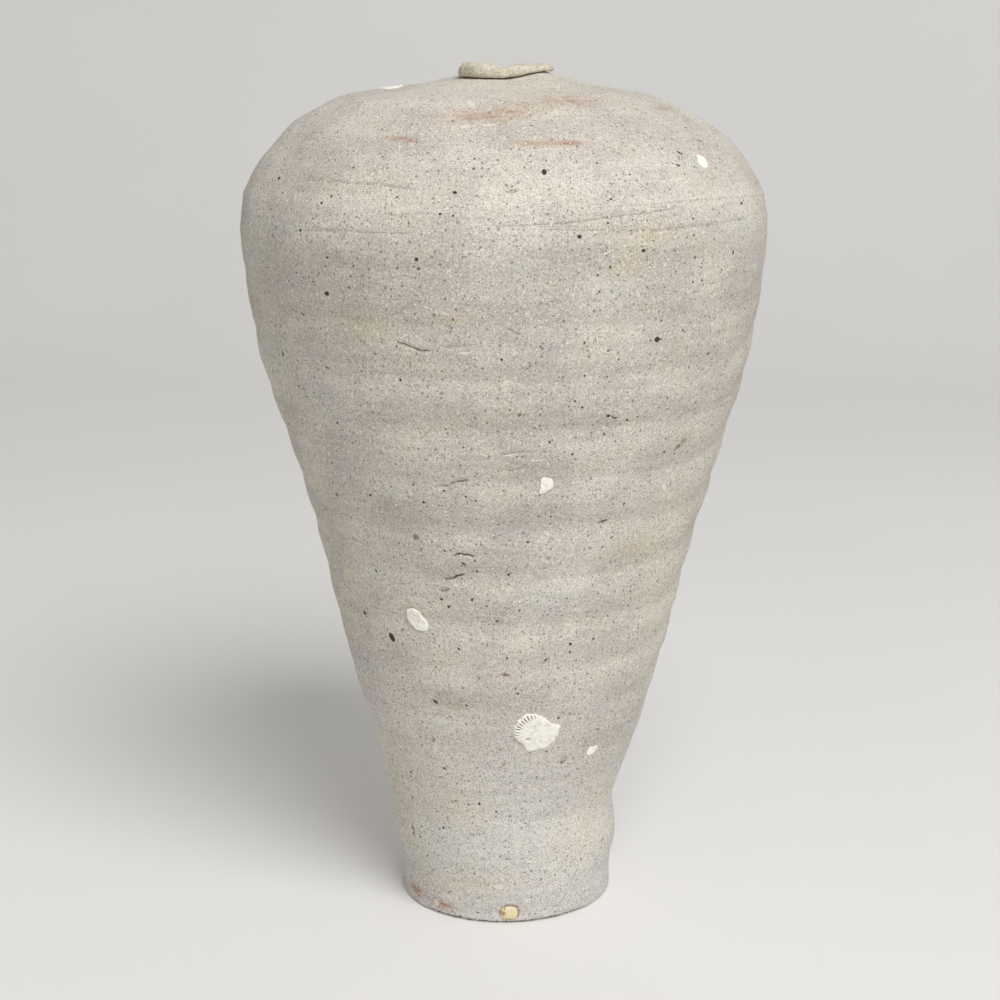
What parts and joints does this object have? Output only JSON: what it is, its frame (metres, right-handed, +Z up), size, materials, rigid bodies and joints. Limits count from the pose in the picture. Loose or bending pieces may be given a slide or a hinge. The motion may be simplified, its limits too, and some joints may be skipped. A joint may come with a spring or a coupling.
{
  "type": "mercury storage jar",
  "caption": "Small-mouthed stoneware storage jar: narrow foot, tall ridged wall widening to a broad shoulder, low crown, tiny mouth under a folded clay rim, with sea crusts.",
  "frame": {"origin": "middle of the flat underside that the jar stands on", "axes": "+Z up through the mouth, -Y the side seen in the picture, +X the viewer's right"},
  "size_m": [0.1596, 0.159, 0.2625],
  "materials": {
    "stoneware": "matte",
    "rim_clay": "matte",
    "lime": "matte",
    "pebble": "matte"
  },
  "bodies": {
    "root": {"base_slab": "stoneware", "foot_wall": "stoneware", "lower_wall": "stoneware", "upper_wall": "stoneware", "shoulder_crown": "stoneware", "neck_tube": "stoneware", "mouth_rim": "rim_clay", "barnacle_base_large": "lime", "barnacle_base_left": "lime", "shell_scar_middle": "lime", "shell_scar_right": "lime", "shell_scar_upper_left": "lime", "lime_scar_crown_right": "lime", "lime_scar_crown_left": "lime", "foot_pebble": "pebble"}
  },
  "joints": []
}
